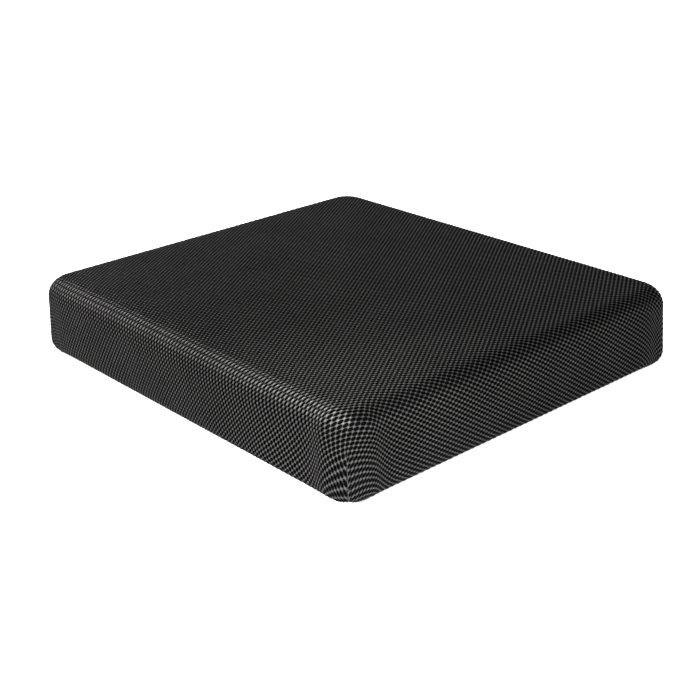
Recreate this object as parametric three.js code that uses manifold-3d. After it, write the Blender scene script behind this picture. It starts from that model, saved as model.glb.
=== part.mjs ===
// Seat cushion: a two-layer foam core in a zipped cover of air-mesh fabric with a non-slip bottom.
// Millimetres. +X is right, +Y is to the rear, +Z is up. The origin is the centre of the underside.
import * as THREE from 'three';
import { mergeVertices } from 'three/addons/utils/BufferGeometryUtils.js';
import Module from 'manifold-3d';

const wasm = await Module();
wasm.setup();

// ---- Driving dimensions ----

const WIDTH = 457.2; // 18 in, left to right
const DEPTH = 406.4; // 16 in, front to rear
const HEIGHT = 76.2; // 3 in, underside to seat face
const CORNER_RADIUS = 30; // the four upright corners, seen from above
const EDGE_RADIUS = 16; // the top and bottom edges
const FABRIC = 3; // thickness of the air-mesh fabric
const GAP = 0.3; // clearance between neighbouring pieces

const PANEL_THICKNESS = 2.4; // non-slip bottom panel
const FOAM_SPLIT = 52; // height of the joint between the two foam layers

const THREAD = 1; // width of a run of stitching
const CORNER_SEAM_DEPTH = 0.6; // depth of the corner thread's axis below the fabric's face

const ZIP_Z = HEIGHT / 2; // height of the zip's centre line on the rear side
const ZIP_LENGTH = 380; // length of the coil chain
const SLOT_MARGIN = 3; // how far the slot runs past the chain at each end
const SLOT_HEIGHT = 11; // opening that shows the chain
const TAPE_WIDTH = 12.5;
const TAPE_THICKNESS = 0.8;
const TAPE_MARGIN = 8; // how far the tape runs past the chain at each end
const CHAIN_GAP = 1.1; // slit between the two coils, which the slider's divider rides in
const COIL_WIDTH = 2.45;
const COIL_THICKNESS = 1.8;
const STITCH_OFFSET = 8.5; // from the zip's centre line to each row of stitching
const TACK_WIDTH = 2.5;
const TACK_HEIGHT = 14;
const STOP_LENGTH = 2;
const STOP_EXTRA = 0.6; // how far a stop stands above the coil, into the slider's path

const SLIDER_LENGTH = 12;
const SLIDER_WIDTH = 9;
const PLATE = 1; // thickness of the slider's two plates
const BRIDGE_LENGTH = 9;
const BRIDGE_WIDTH = 2;
const BRIDGE_WIRE = 0.9;
const PULL_WIRE = 1.2; // thickness of the pull and diameter of its crossbar
const PULL_LENGTH = 25;
const PULL_WIDTH = 7;
const PULL_EYE = 5.5; // from the crossbar to the solid part of the pull
const PULL_EYE_WIDTH = 3.8;

const LABEL = { width: 32, height: 20, thickness: 0.8, x: 130, z: 6 };

const REAR = DEPTH / 2;
const ZIP_HALF = ZIP_LENGTH / 2;

// The zip's layers, from the foam outwards.
const TAPE_BACK = REAR - FABRIC - GAP - TAPE_THICKNESS;
const TAPE_FRONT = TAPE_BACK + TAPE_THICKNESS;
const COIL_BACK = TAPE_FRONT + GAP;
const COIL_FRONT = COIL_BACK + COIL_THICKNESS;
const BACK_PLATE = TAPE_BACK - GAP - PLATE;
const FRONT_PLATE = COIL_FRONT + GAP;
const PULL_Y = FRONT_PLATE + PLATE + GAP + PULL_WIRE / 2;
const BRIDGE_TOP = PULL_Y + PULL_WIRE / 2 + GAP + BRIDGE_WIRE;
const SLIDER_X = -ZIP_HALF + SLIDER_LENGTH / 2;

// ---- Solids ----

function solid(geometry) {
  const bare = geometry.clone();
  bare.deleteAttribute('normal');
  bare.deleteAttribute('uv');
  const merged = mergeVertices(bare, 1e-4);
  return new wasm.Manifold(
    new wasm.Mesh({
      numProp: 3,
      vertProperties: merged.attributes.position.array,
      triVerts: Uint32Array.from(merged.index.array),
    }),
  );
}

function geometryOf(manifold) {
  const { vertProperties, triVerts } = manifold.getMesh();
  const geometry = new THREE.BufferGeometry();
  geometry.setAttribute('position', new THREE.BufferAttribute(vertProperties, 3));
  geometry.setIndex(new THREE.BufferAttribute(triVerts, 1));
  geometry.computeVertexNormals();
  return geometry;
}

function block(low, high) {
  const size = high.map((value, axis) => value - low[axis]);
  const geometry = new THREE.BoxGeometry(...size);
  geometry.translate(...low.map((value, axis) => value + size[axis] / 2));
  return geometry;
}

function roundedRect(width, depth, radius) {
  const x = width / 2 - radius;
  const y = depth / 2 - radius;
  const quarter = Math.PI / 2;
  const shape = new THREE.Shape();
  shape.absarc(x, y, radius, 0, quarter);
  shape.absarc(-x, y, radius, quarter, 2 * quarter);
  shape.absarc(-x, -y, radius, 2 * quarter, 3 * quarter);
  shape.absarc(x, -y, radius, 3 * quarter, 4 * quarter);
  shape.closePath();
  return shape;
}

// The outline where the bottom edge's rounding meets the flat underside, moved in by an inset.
function undersideOutline(inset) {
  const trim = 2 * (EDGE_RADIUS + inset);
  return roundedRect(WIDTH - trim, DEPTH - trim, CORNER_RADIUS - EDGE_RADIUS - inset);
}

// The cushion's rounded block, moved in from its outer face by an inset.
function roundedBlock(inset) {
  const radius = EDGE_RADIUS - inset;
  const geometry = new THREE.ExtrudeGeometry(undersideOutline(0), {
    depth: HEIGHT - 2 * EDGE_RADIUS,
    bevelSize: radius,
    bevelThickness: radius,
    bevelSegments: 5,
    curveSegments: 4,
  });
  geometry.translate(0, 0, EDGE_RADIUS);
  return geometry;
}

function slab(shape, thickness, z) {
  const geometry = new THREE.ExtrudeGeometry(shape, {
    depth: thickness,
    bevelEnabled: false,
    curveSegments: 4,
  });
  geometry.translate(0, 0, z);
  return geometry;
}

function polygon(radius, sides) {
  const points = [];
  for (let side = 0; side < sides; side += 1) {
    const angle = (2 * Math.PI * side) / sides;
    points.push(new THREE.Vector2(radius * Math.cos(angle), radius * Math.sin(angle)));
  }
  return new THREE.Shape(points);
}

// An outline drawn in X and Z on the rear side, given its thickness outwards from y.
function rearPlate(shape, thickness, y) {
  const geometry = new THREE.ExtrudeGeometry(shape, {
    depth: thickness,
    bevelEnabled: false,
    curveSegments: 4,
  });
  geometry.rotateX(Math.PI / 2);
  geometry.translate(0, y + thickness, ZIP_Z);
  return geometry;
}

// ---- Corner seams ----

// Runs up the middle of a corner, from just above the bottom seam to the top edge.
function cornerSeamPath(signX, signY) {
  const radius = EDGE_RADIUS - CORNER_SEAM_DEPTH;
  const points = [];
  const addPoint = (angle, centreZ) => {
    const reach = CORNER_RADIUS - EDGE_RADIUS + radius * Math.cos(angle);
    const x = WIDTH / 2 - CORNER_RADIUS + reach * Math.SQRT1_2;
    const y = DEPTH / 2 - CORNER_RADIUS + reach * Math.SQRT1_2;
    points.push(new THREE.Vector3(signX * x, signY * y, centreZ + radius * Math.sin(angle)));
  };
  for (let step = -4; step <= 0; step += 1) {
    addPoint((step / 4) * (Math.PI / 3), EDGE_RADIUS);
  }
  addPoint(0, HEIGHT / 2);
  for (let step = 0; step <= 4; step += 1) {
    addPoint((step / 4) * (Math.PI / 3), HEIGHT - EDGE_RADIUS);
  }
  return new THREE.CatmullRomCurve3(points);
}

function runAlong(path, radius) {
  return new THREE.ExtrudeGeometry(polygon(radius, 6), { steps: 16, extrudePath: path });
}

const CORNERS = [
  ['front_left', -1, -1],
  ['front_right', 1, -1],
  ['rear_left', -1, 1],
  ['rear_right', 1, 1],
];

// ---- Cover ----

function coverTopAndSides() {
  const room = solid(roundedBlock(FABRIC));
  const mouth = solid(slab(undersideOutline(0), 2 * FABRIC, -FABRIC));
  const slotHalf = ZIP_HALF + SLOT_MARGIN;
  const slot = solid(
    block(
      [-slotHalf, REAR - 2 * FABRIC, ZIP_Z - SLOT_HEIGHT / 2],
      [slotHalf, REAR + FABRIC, ZIP_Z + SLOT_HEIGHT / 2],
    ),
  );
  let cover = solid(roundedBlock(0)).subtract(room).subtract(mouth).subtract(slot);
  for (const [, signX, signY] of CORNERS) {
    cover = cover.subtract(solid(runAlong(cornerSeamPath(signX, signY), THREAD)));
  }
  for (const side of [-1, 1]) {
    cover = cover.subtract(solid(zipStitch(side, GAP)));
    cover = cover.subtract(solid(endTack(side, GAP)));
  }
  return geometryOf(cover);
}

function bottomSeam() {
  const ring = undersideOutline(GAP);
  ring.holes.push(undersideOutline(GAP + THREAD));
  return slab(ring, THREAD, GAP);
}

// ---- Foam ----

function foamLayer(low, high) {
  const layer = solid(block([-WIDTH, -DEPTH, low], [WIDTH, DEPTH, high]));
  const zipRoom = solid(
    block(
      [-ZIP_HALF - TAPE_MARGIN - 1, BACK_PLATE - GAP, ZIP_Z - TAPE_WIDTH - 1],
      [ZIP_HALF + TAPE_MARGIN + 1, REAR, ZIP_Z + TAPE_WIDTH + 1],
    ),
  );
  return geometryOf(solid(roundedBlock(FABRIC + GAP)).intersect(layer).subtract(zipRoom));
}

// ---- Zip ----
// side is 1 for the upper tape and -1 for the lower one.

function zipStrip(side, halfLength, near, far, back, front) {
  const [low, high] = side > 0 ? [near, far] : [-far, -near];
  return block([-halfLength, back, ZIP_Z + low], [halfLength, front, ZIP_Z + high]);
}

function zipTape(side) {
  const edge = CHAIN_GAP / 2;
  return zipStrip(side, ZIP_HALF + TAPE_MARGIN, edge, TAPE_WIDTH, TAPE_BACK, TAPE_FRONT);
}

function zipCoil(side) {
  const section = roundedRect(COIL_WIDTH, COIL_THICKNESS, COIL_THICKNESS / 2 - 0.1);
  const geometry = new THREE.ExtrudeGeometry(section, {
    depth: ZIP_LENGTH,
    bevelEnabled: false,
    curveSegments: 3,
  });
  geometry.rotateY(Math.PI / 2);
  const z = ZIP_Z + side * (CHAIN_GAP / 2 + COIL_WIDTH / 2);
  geometry.translate(-ZIP_HALF, (COIL_BACK + COIL_FRONT) / 2, z);
  return geometry;
}

function zipStitch(side, clearance) {
  const near = STITCH_OFFSET - THREAD / 2 - clearance;
  const far = STITCH_OFFSET + THREAD / 2 + clearance;
  const back = REAR - 0.7 - clearance;
  return zipStrip(side, ZIP_HALF + clearance, near, far, back, REAR + 0.1 + clearance);
}

// end is -1 at the left end of the slot and 1 at the right end.
function endTack(end, clearance) {
  const middle = end * (ZIP_HALF + SLOT_MARGIN + GAP + 0.5 + TACK_WIDTH / 2);
  const halfWidth = TACK_WIDTH / 2 + clearance;
  const halfHeight = TACK_HEIGHT / 2 + clearance;
  return block(
    [middle - halfWidth, REAR - 0.7 - clearance, ZIP_Z - halfHeight],
    [middle + halfWidth, REAR + 0.1 + clearance, ZIP_Z + halfHeight],
  );
}

// Clamped on one tape past the chain's left end, where the closed slider comes to rest.
function topStop(side) {
  const near = CHAIN_GAP / 2;
  const [low, high] = side > 0 ? [near, near + COIL_WIDTH] : [-near - COIL_WIDTH, -near];
  const end = -ZIP_HALF - GAP;
  return block(
    [end - STOP_LENGTH, COIL_BACK, ZIP_Z + low],
    [end, COIL_FRONT + STOP_EXTRA, ZIP_Z + high],
  );
}

// Joins the two tapes past the chain's right end, where the open slider comes to rest.
function bottomStop() {
  const half = CHAIN_GAP / 2 + COIL_WIDTH;
  const start = ZIP_HALF + GAP;
  return block(
    [start, COIL_BACK, ZIP_Z - half],
    [start + STOP_LENGTH, COIL_FRONT + STOP_EXTRA, ZIP_Z + half],
  );
}

// The slider's plate: wide shoulders at its left end, where the open coils enter, narrower at the
// right, where they leave joined.
function sliderOutline() {
  const half = SLIDER_LENGTH / 2;
  const wide = SLIDER_WIDTH / 2;
  const narrow = wide - 0.8;
  const shape = new THREE.Shape();
  shape.moveTo(-half + 2, -wide);
  shape.lineTo(half - 1, -narrow);
  shape.quadraticCurveTo(half, -narrow, half, -narrow + 1);
  shape.lineTo(half, narrow - 1);
  shape.quadraticCurveTo(half, narrow, half - 1, narrow);
  shape.lineTo(-half + 2, wide);
  shape.quadraticCurveTo(-half, wide, -half, wide - 2);
  shape.quadraticCurveTo(-half + 1.2, 0, -half, -wide + 2);
  shape.quadraticCurveTo(-half, -wide, -half + 2, -wide);
  return shape;
}

function slider() {
  const half = SLIDER_LENGTH / 2;
  const overlap = 0.2;
  let body = solid(rearPlate(sliderOutline(), PLATE, FRONT_PLATE));
  body = body.add(solid(rearPlate(sliderOutline(), PLATE, BACK_PLATE)));
  const divider = CHAIN_GAP / 2 - GAP;
  body = body.add(
    solid(
      block(
        [-half + 2, BACK_PLATE + overlap, ZIP_Z - divider],
        [-half + 6, FRONT_PLATE + PLATE - overlap, ZIP_Z + divider],
      ),
    ),
  );
  const flangeNear = CHAIN_GAP / 2 + COIL_WIDTH + GAP;
  for (const [low, high] of [[flangeNear, flangeNear + 0.5], [-flangeNear - 0.5, -flangeNear]]) {
    body = body.add(
      solid(
        block(
          [-half + 2, TAPE_FRONT + GAP, ZIP_Z + low],
          [half - 1, FRONT_PLATE + overlap, ZIP_Z + high],
        ),
      ),
    );
  }
  return geometryOf(body.add(bridge()));
}

// The arch over the front plate that holds the pull's crossbar.
function bridge() {
  const half = BRIDGE_LENGTH / 2;
  const foot = FRONT_PLATE + PLATE - 0.2;
  const arch = solid(
    block([-half, foot, ZIP_Z - BRIDGE_WIDTH / 2], [half, BRIDGE_TOP, ZIP_Z + BRIDGE_WIDTH / 2]),
  );
  const eye = solid(
    block(
      [-half + BRIDGE_WIRE, foot - 1, ZIP_Z - BRIDGE_WIDTH],
      [half - BRIDGE_WIRE, BRIDGE_TOP - BRIDGE_WIRE, ZIP_Z + BRIDGE_WIDTH],
    ),
  );
  return arch.subtract(eye);
}

// Lies flat to the right, with its crossbar under the bridge and the bridge's foot in its eye.
function pull() {
  const halfEye = PULL_EYE_WIDTH / 2;
  const halfWidth = PULL_WIDTH / 2;
  const shape = new THREE.Shape();
  shape.moveTo(0, -halfEye - PULL_WIRE);
  shape.lineTo(PULL_EYE, -halfWidth);
  shape.absarc(PULL_LENGTH - halfWidth, 0, halfWidth, -Math.PI / 2, Math.PI / 2);
  shape.lineTo(PULL_EYE, halfWidth);
  shape.lineTo(0, halfEye + PULL_WIRE);
  shape.closePath();
  const eye = new THREE.Path();
  eye.moveTo(0.3, -halfEye);
  eye.lineTo(0.3, halfEye);
  eye.lineTo(PULL_EYE, halfEye);
  eye.lineTo(PULL_EYE, -halfEye);
  eye.closePath();
  const grip = new THREE.Path();
  grip.absarc(PULL_LENGTH - halfWidth, 0, 1.4, 0, 2 * Math.PI, true);
  shape.holes.push(eye, grip);
  const plate = rearPlate(shape, PULL_WIRE, PULL_Y - PULL_WIRE / 2);
  const barLength = PULL_EYE_WIDTH + 2 * PULL_WIRE;
  const crossbar = new THREE.CylinderGeometry(PULL_WIRE / 2, PULL_WIRE / 2, barLength, 12);
  crossbar.rotateX(Math.PI / 2);
  crossbar.translate(0, PULL_Y, ZIP_Z);
  return geometryOf(solid(plate).add(solid(crossbar)));
}

// ---- Care label ----

// Blank, sewn into the bottom seam and folded up against the rear side.
function careLabel() {
  const halfWidth = LABEL.width / 2;
  const back = REAR + GAP;
  return block(
    [LABEL.x - halfWidth, back, LABEL.z],
    [LABEL.x + halfWidth, back + LABEL.thickness, LABEL.z + LABEL.height],
  );
}

// ---- Assembly ----

const MATERIALS = {
  meshFabric: { color: 0x2c2d31, roughness: 0.75, metalness: 0 },
  bottomFabric: { color: 0x202124, roughness: 0.85, metalness: 0 },
  firmFoam: { color: 0xcfcdb8, roughness: 0.95, metalness: 0 },
  softFoam: { color: 0xe9e6d2, roughness: 0.95, metalness: 0 },
  thread: { color: 0x1b1c1f, roughness: 0.7, metalness: 0 },
  zipTape: { color: 0x18191b, roughness: 0.85, metalness: 0 },
  zipCoil: { color: 0x141416, roughness: 0.4, metalness: 0 },
  zipMetal: { color: 0x26272a, roughness: 0.35, metalness: 0.8 },
  label: { color: 0xe8e8e6, roughness: 0.6, metalness: 0 },
};

const cushion = new THREE.Group();

function add(name, geometry, material, parent = cushion) {
  const mesh = new THREE.Mesh(geometry, new THREE.MeshStandardMaterial(MATERIALS[material]));
  mesh.name = name;
  parent.add(mesh);
}

add('foam_base', foamLayer(0, FOAM_SPLIT - GAP), 'firmFoam');
add('foam_comfort_layer', foamLayer(FOAM_SPLIT, HEIGHT), 'softFoam');
add('cover_top_and_sides', coverTopAndSides(), 'meshFabric');
const panelOutline = undersideOutline(THREAD + 2 * GAP);
add('cover_bottom', slab(panelOutline, PANEL_THICKNESS, 0), 'bottomFabric');
add('bottom_seam', bottomSeam(), 'thread');
for (const [corner, signX, signY] of CORNERS) {
  const seam = runAlong(cornerSeamPath(signX, signY), THREAD / 2);
  add(`corner_seam_${corner}`, seam, 'thread');
}
for (const [level, side] of [['upper', 1], ['lower', -1]]) {
  add(`zipper_tape_${level}`, zipTape(side), 'zipTape');
  add(`zipper_coil_${level}`, zipCoil(side), 'zipCoil');
  add(`zipper_stitch_${level}`, zipStitch(side, 0), 'thread');
  add(`zipper_top_stop_${level}`, topStop(side), 'zipMetal');
}
add('zipper_bottom_stop', bottomStop(), 'zipMetal');
add('zipper_end_tack_left', endTack(-1, 0), 'thread');
add('zipper_end_tack_right', endTack(1, 0), 'thread');

const runner = new THREE.Group();
runner.position.x = SLIDER_X;
cushion.add(runner);
add('zipper_slider', slider(), 'zipMetal', runner);
add('zipper_pull', pull(), 'zipMetal', runner);
add('care_label', careLabel(), 'label');

export default cushion;
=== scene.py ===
"""Seat cushion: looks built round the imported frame. Metres, +X right, +Y to the rear, +Z up."""

import math

import bmesh
import bpy
import numpy as np
from mathutils import Matrix, Vector
from mathutils.bvhtree import BVHTree


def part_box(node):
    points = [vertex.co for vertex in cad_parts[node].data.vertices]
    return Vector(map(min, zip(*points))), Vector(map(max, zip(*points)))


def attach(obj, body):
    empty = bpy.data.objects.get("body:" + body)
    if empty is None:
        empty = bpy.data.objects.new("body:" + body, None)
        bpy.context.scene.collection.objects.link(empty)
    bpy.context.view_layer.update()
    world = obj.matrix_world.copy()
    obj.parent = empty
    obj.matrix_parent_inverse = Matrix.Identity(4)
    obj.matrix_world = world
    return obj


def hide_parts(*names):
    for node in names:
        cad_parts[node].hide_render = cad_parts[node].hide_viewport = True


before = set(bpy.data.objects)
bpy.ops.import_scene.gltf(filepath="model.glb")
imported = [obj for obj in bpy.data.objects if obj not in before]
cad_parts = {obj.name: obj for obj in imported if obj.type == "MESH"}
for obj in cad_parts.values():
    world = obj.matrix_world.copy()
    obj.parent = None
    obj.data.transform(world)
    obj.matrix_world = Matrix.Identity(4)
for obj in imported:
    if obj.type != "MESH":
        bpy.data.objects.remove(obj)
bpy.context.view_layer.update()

MM = 0.001

# ---- Sizes, from the frame and from the cloth ----

cushion_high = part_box("cover_top_and_sides")[1]
HALF = np.array([cushion_high.x, cushion_high.y])
HEIGHT = cushion_high.z
PANELS = ["seat", "front", "right", "rear", "left"]

# The block's edges, and the points that the cover is drawn with

CORNER_RADIUS = 30 * MM
TOP_RADIUS = 19 * MM
TOP_STEPS = 8
BASE_RADIUS = 14 * MM
BASE_STEPS = 5
UNDER_STRIP = 9 * MM
UNDER_RISE = 1.6 * MM
TURN_SHARES = np.array([0.0, 0.06, 0.14, 0.26, 0.42, 0.6, 0.8])
COLUMN_PITCH = 9 * MM
COLUMN_GAP = 5 * MM

# The knit: spacing of its holes, the yarn's depth and rise, and how the edges open it

KNIT_ACROSS = 4.47 * MM
KNIT_ALONG = 6.46 * MM
KNIT_DEPTH = 1.5 * MM
BACKING_DEPTH = 1.35 * MM
KNOT_RISE = 0.42 * MM
LEG_RISE = -0.1 * MM
KNOT_HALF_LENGTH = 0.6 * MM
HOLE = (1.25 * MM, 2.1 * MM)
SEAT_COLUMNS = 32
SIDE_COLUMNS = 151
KNIT_ROWS = 101
EDGE_PULL = 0.45
EDGE_PULL_PLACE = 10 * MM
EDGE_PULL_WIDTH = 7 * MM
EDGE_PULL_TAPER = 30 * MM

# The crown, and the swell of the cloth under pressure

CROWN = 0.5 * MM
CROWN_POWER = 2.2
SWELL = 3 * MM
CLOTH_FRAMES = 12
CLOTH_SETTINGS = {
    "quality": 6,
    "mass": 0.3,
    "use_pressure": True,
    "uniform_pressure_force": 1.0,
    "tension_stiffness": 80,
    "compression_stiffness": 80,
    "shear_stiffness": 80,
    "bending_stiffness": 10,
    "vertex_group_mass": "held",
}

# How the cloth and its rows turn down at the corner seams

TURN_REACH = 36 * MM
CORNER_SPREAD = 4.5 * MM
SPREAD_TOP = 50 * MM
SPREAD_HALF_WIDTH = 14 * MM
GATHER_LENGTH = 42 * MM
DROP_LENGTH = 90 * MM
LENGTH_SOFTNESS = 3 * MM
FRONT_SKEW = 0.03
FRONT_SKEW_GROWTH = 2.1
FRONT_SKEW_START = -70 * MM
FRONT_SKEW_SPAN = 130 * MM
FRONT_SKEW_TAPER = 100 * MM
SEAM_TOP = 40 * MM
SEAM_FADE = 18 * MM
SEAM_DIP = 2.4 * MM
SEAM_HALF_WIDTH = 4 * MM
SEAM_ALLOWANCE = 4 * MM
SEAM_LEAST = 0.02 * MM
SEAM_START = 0.03 * MM

# The zip: the channel in the cover, then the tapes, coils, hems and stitches

zip_low, zip_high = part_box("zipper_coil_lower")[0].z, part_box("zipper_coil_upper")[1].z
ZIP_Z = (zip_low + zip_high) / 2
SLOT_REACH = 193 * MM
SLOT_HALF = 5.5 * MM
SLOT_LIP = 1.5 * MM
SLOT_FLOOR = 196.6 * MM

ZIP_PULL_IN = 0.7 * MM
ZIP_PULL_REACH = (215 * MM, 11 * MM)
ZIP_PULL_FADE = (6 * MM, 3 * MM)

TAPE_HALF = 198 * MM
TAPE_COLUMNS = 133
COIL_TURNS = 300
COIL_WIRE = 0.33 * MM
HEM = np.array(
    [
        (-2.9, 5.2),
        (-0.9, 5.1),
        (0.2, 5.3),
        (0.66, 5.9),
        (0.75, 7.2),
        (0.7, 8.0),
        (0.5, 8.5),
        (0.7, 9.0),
        (0.72, 9.7),
        (0.5, 10.4),
        (-0.6, 10.7),
    ]
)
HEM_STITCH_REACH = 190 * MM
HEM_STITCH_RISE = 8.5 * MM
HEM_STITCH_LIFT = 0.62 * MM
HEM_STITCH_COUNT = 119
TACK_X = 195.05 * MM
TACK_REACH = 7 * MM
TACK_LIFT = 0.4 * MM
TACK_COUNT = 27

# The underside

BASE_HEIGHT = 0.5 * MM
BASE_BORDER = np.array([0.0, 0.15, 0.5, 1.0, 1.6, 2.2, 2.8, 3.6, 6.0, 10.0]) * MM
BASE_LIFT = np.array([1.3, 0.7, 0.25, 0.05, 0.0, 0.2, 0.0, 0.0, 0.0, 0.0]) * MM
BASE_WAVE = 0.12 * MM
BASE_STITCH_HEIGHT = 0.75 * MM
BASE_STITCH_COUNT = 480
DOT_PITCH = 9 * MM
DOT_RADIUS = 1.7 * MM
DOT_MARGIN = 11 * MM

# The label

LABEL_GAP = 0.5 * MM
LABEL_FOLD = 0.9 * MM
LABEL_THICKNESS = 0.15 * MM

LABEL_STITCH_COUNT = 10

# Threads

THREAD_RADIUS = 0.3 * MM
STITCH_LENGTH = 2.6 * MM
CORNER_STITCH_LENGTH = 2.4 * MM
CORNER_STITCH_DEPTH = 0.9 * MM
CORNER_STITCH_COUNT = 15
TACK_LENGTH = 3.0 * MM
REARWARD = (0, 1, 0)
DOWNWARD = (0, 0, -1)
WELD = 0.02 * MM

# Camera and light

VIEW_ANGLES = (49.37, 21.86, 1.96)
VIEW_DISTANCE = 1.272
LENS = 70.66
LENS_SHIFT = (-0.0123, -0.0292)
MIDDLE = Vector((0, 0, HEIGHT / 2))

SOFTBOXES = [
    ("key", (-1.35, -0.2, 1.2), 1.4, 0.5, 68),
    ("front", (-0.5, -1.7, 0.6), 1.0, 0.6, 76),
    ("side", (1.8, -0.9, 0.5), 0.8, 0.5, 136),
]
CORNER_AIM = 12 * MM
CORNER_AIM_HEIGHT = 56 * MM
CORNER_BEAM = {
    "energy": 850,
    "spot_size": math.radians(8),
    "spot_blend": 1.0,
    "shadow_soft_size": 0.12,
}

FACES = {
    "front": (np.array([1.0, 0.0]), np.array([0.0, -1.0])),
    "right": (np.array([0.0, 1.0]), np.array([1.0, 0.0])),
    "rear": (np.array([-1.0, 0.0]), np.array([0.0, 1.0])),
    "left": (np.array([0.0, -1.0]), np.array([-1.0, 0.0])),
}


# ---- Node trees written as expressions ----


class Value:
    """An output socket. Arithmetic on it adds Math nodes to its tree."""

    def __init__(self, graph, socket):
        self.graph = graph
        self.socket = socket

    def other(self, name):
        return Value(self.graph, self.socket.node.outputs[name])

    def math(self, operation, *others):
        values = {index: value for index, value in enumerate((self, *others))}
        return self.graph.math(operation, values)

    def __add__(self, other):
        return self.math("ADD", other)

    def __sub__(self, other):
        return self.math("SUBTRACT", other)

    def __mul__(self, other):
        return self.math("MULTIPLY", other)

    def __truediv__(self, other):
        return self.math("DIVIDE", other)

    def __radd__(self, other):
        return self.graph.math("ADD", {0: other, 1: self})

    def __rsub__(self, other):
        return self.graph.math("SUBTRACT", {0: other, 1: self})

    def __rmul__(self, other):
        return self.graph.math("MULTIPLY", {0: other, 1: self})

    def __rtruediv__(self, other):
        return self.graph.math("DIVIDE", {0: other, 1: self})


class Graph:
    """A node tree that nodes are added to by type, settings and inputs."""

    def __init__(self, tree):
        self.tree = tree

    def feed(self, socket, value):
        if isinstance(value, Value):
            self.tree.links.new(value.socket, socket)
        else:
            socket.default_value = value

    def node(self, kind, inputs=None, output=0, **settings):
        made = self.tree.nodes.new(kind)
        for name, value in settings.items():
            setattr(made, name, value)
        for key, value in (inputs or {}).items():
            self.feed(made.inputs[key], value)
        return Value(self, made.outputs[output])

    def math(self, operation, inputs):
        return self.node("ShaderNodeMath", inputs, operation=operation)

    def mix(self, factor, first, second):
        """A colour between two colours."""
        inputs = {0: factor, 6: first, 7: second}
        return self.node("ShaderNodeMix", inputs, output=2, data_type="RGBA")

    def rise(self, value, low, high):
        """0 up to low, 1 from high on, and a straight rise between."""
        return self.node("ShaderNodeMapRange", {"Value": value, 1: low, 2: high, 3: 0.0, 4: 1.0})

    def noise(self, where, scale, detail):
        return self.node("ShaderNodeTexNoise", {"Vector": where, "Scale": scale, "Detail": detail})

    def cells(self, where, scale):
        return self.node("ShaderNodeTexVoronoi", {"Vector": where, "Scale": scale})

    def on_object(self):
        return self.node("ShaderNodeTexCoord", output="Object")

    def on_cloth(self):
        """The piece's own flat map, in metres."""
        return self.node("ShaderNodeUVMap", uv_map="cloth")


def grey(value, alpha=1.0):
    return (value, value, value, alpha)


def finish(name, colour, **sockets):
    """A Principled material and the graph and shader node that add detail to it."""
    material = bpy.data.materials.new(name)
    material.use_nodes = True
    graph = Graph(material.node_tree)
    shader = material.node_tree.nodes["Principled BSDF"]
    shader.inputs["Base Color"].default_value = colour
    for socket, value in sockets.items():
        shader.inputs[socket.replace("_", " ")].default_value = value
    return material, graph, shader


def vary(graph, shader, height, strength, depth, **sockets):
    """Links what changes over the surface, and a relief of the given height, strength and depth."""
    for socket, value in sockets.items():
        graph.feed(shader.inputs[socket.replace("_", " ")], value)
    relief = {"Strength": strength, "Distance": depth, "Height": height}
    graph.feed(shader.inputs["Normal"], graph.node("ShaderNodeBump", relief))


# ---- Geometry trees ----

SOCKETS = {
    float: "NodeSocketFloat",
    int: "NodeSocketInt",
    bpy.types.Object: "NodeSocketObject",
    bpy.types.Material: "NodeSocketMaterial",
    Vector: "NodeSocketVector",
}


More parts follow.
